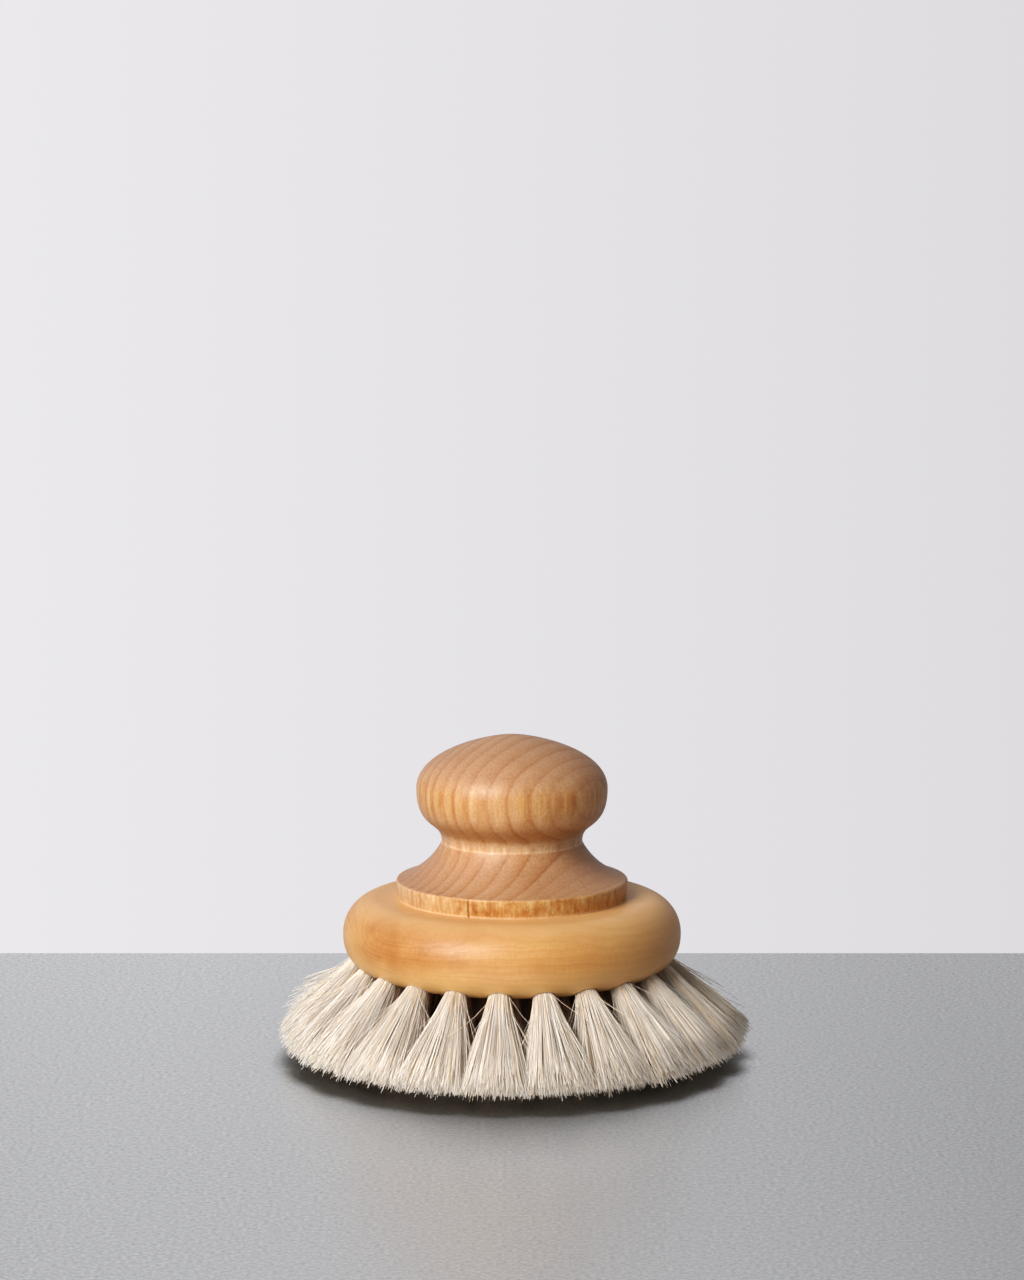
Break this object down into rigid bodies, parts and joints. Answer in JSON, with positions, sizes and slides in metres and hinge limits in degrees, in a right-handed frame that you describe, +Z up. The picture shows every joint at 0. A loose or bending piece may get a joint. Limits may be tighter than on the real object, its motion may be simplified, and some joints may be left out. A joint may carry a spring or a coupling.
{
  "type": "body brush",
  "caption": "Round wooden body brush with a turned knob handle, a drilled round head and rows of wire-drawn horsehair tufts that splay outwards.",
  "frame": {"origin": "on the table under the brush's axis, at the centre of the bounding box's bottom", "axes": "+Z up along the turned axis from the hair's trimmed face to the knob's crown; the pictured front faces -Y"},
  "size_m": [0.123, 0.123, 0.0866],
  "materials": {
    "knob_birch": "oiled birch, warm brown with dark growth lines, satin",
    "disc_birch": "oiled birch, pale gold, smooth and satin",
    "dowel_birch": "raw birch dowel, matte",
    "steel_wire": "drawn stainless wire",
    "horsehair": "undyed pale horsehair, straight, trimmed"
  },
  "bodies": {
    "root": {"knob_handle": "knob_birch", "brush_disc": "disc_birch", "joining_dowel": "dowel_birch", "drawing_wire": "steel_wire", "outer_row_tuft_01": "horsehair", "outer_row_tuft_02": "horsehair", "outer_row_tuft_03": "horsehair", "outer_row_tuft_04": "horsehair", "outer_row_tuft_05": "horsehair", "outer_row_tuft_06": "horsehair", "outer_row_tuft_07": "horsehair", "outer_row_tuft_08": "horsehair", "outer_row_tuft_09": "horsehair", "outer_row_tuft_10": "horsehair", "outer_row_tuft_11": "horsehair", "outer_row_tuft_12": "horsehair", "outer_row_tuft_13": "horsehair", "outer_row_tuft_14": "horsehair", "outer_row_tuft_15": "horsehair", "outer_row_tuft_16": "horsehair", "outer_row_tuft_17": "horsehair", "outer_row_tuft_18": "horsehair", "outer_row_tuft_19": "horsehair", "outer_row_tuft_20": "horsehair", "outer_row_tuft_21": "horsehair", "outer_row_tuft_22": "horsehair", "third_row_tuft_01": "horsehair", "third_row_tuft_02": "horsehair", "third_row_tuft_03": "horsehair", "third_row_tuft_04": "horsehair", "third_row_tuft_05": "horsehair", "third_row_tuft_06": "horsehair", "third_row_tuft_07": "horsehair", "third_row_tuft_08": "horsehair", "third_row_tuft_09": "horsehair", "third_row_tuft_10": "horsehair", "third_row_tuft_11": "horsehair", "third_row_tuft_12": "horsehair", "third_row_tuft_13": "horsehair", "third_row_tuft_14": "horsehair", "third_row_tuft_15": "horsehair", "second_row_tuft_01": "horsehair", "second_row_tuft_02": "horsehair", "second_row_tuft_03": "horsehair", "second_row_tuft_04": "horsehair", "second_row_tuft_05": "horsehair", "second_row_tuft_06": "horsehair", "second_row_tuft_07": "horsehair", "second_row_tuft_08": "horsehair", "second_row_tuft_09": "horsehair", "second_row_tuft_10": "horsehair", "centre_row_tuft_01": "horsehair", "centre_row_tuft_02": "horsehair", "centre_row_tuft_03": "horsehair", "centre_row_tuft_04": "horsehair", "centre_row_tuft_05": "horsehair"}
  },
  "joints": []
}
